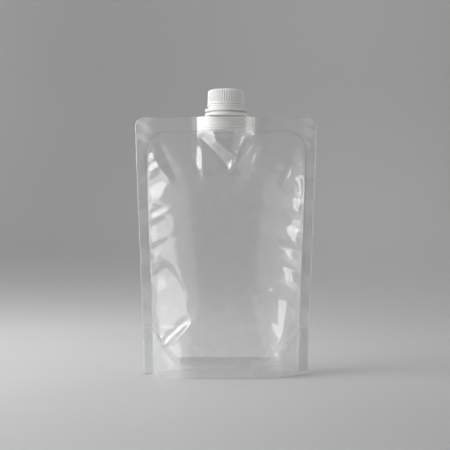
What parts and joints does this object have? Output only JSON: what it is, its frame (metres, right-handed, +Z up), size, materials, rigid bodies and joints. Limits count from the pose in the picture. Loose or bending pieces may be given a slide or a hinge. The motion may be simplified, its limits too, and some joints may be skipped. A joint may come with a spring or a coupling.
{
  "type": "spout pouch",
  "caption": "Clear stand-up film pouch with an opened bottom gusset, a flanged spout welded into its top seal, and a ribbed screw cap with a tamper band.",
  "frame": {"origin": "middle of the foot, on the surface the pouch stands on", "axes": "+Z up through the spout and cap, +X across the pouch's width to the right seen from the front, the front panel faces -Y"},
  "size_m": [0.1494, 0.06, 0.2324],
  "materials": {
    "clear_film": "clear, slightly hazy glossy film",
    "natural_plastic": "milky translucent natural polyethylene, satin",
    "white_plastic": "opaque white, satin"
  },
  "bodies": {
    "pouch": {"front_panel": "clear_film", "back_panel": "clear_film", "bottom_gusset": "clear_film", "spout": "natural_plastic"},
    "tamper_band": {"tamper_band": "white_plastic"},
    "cap": {"cap": "white_plastic"}
  },
  "joints": [
    {"name": "band_turn", "type": "hinge", "parent": "pouch", "child": "tamper_band", "pos_m": [0, 0, 0.2186], "axis": [0, 0, 1], "range_deg": [0, 720]},
    {"name": "cap_lift", "type": "slide", "parent": "tamper_band", "child": "cap", "axis": [0, 0, 1], "range_m": [0, 0.008]}
  ],
  "couplings": [
    {"joint": "cap_lift", "follows": "band_turn", "m_per_rad": 0.0006366}
  ]
}
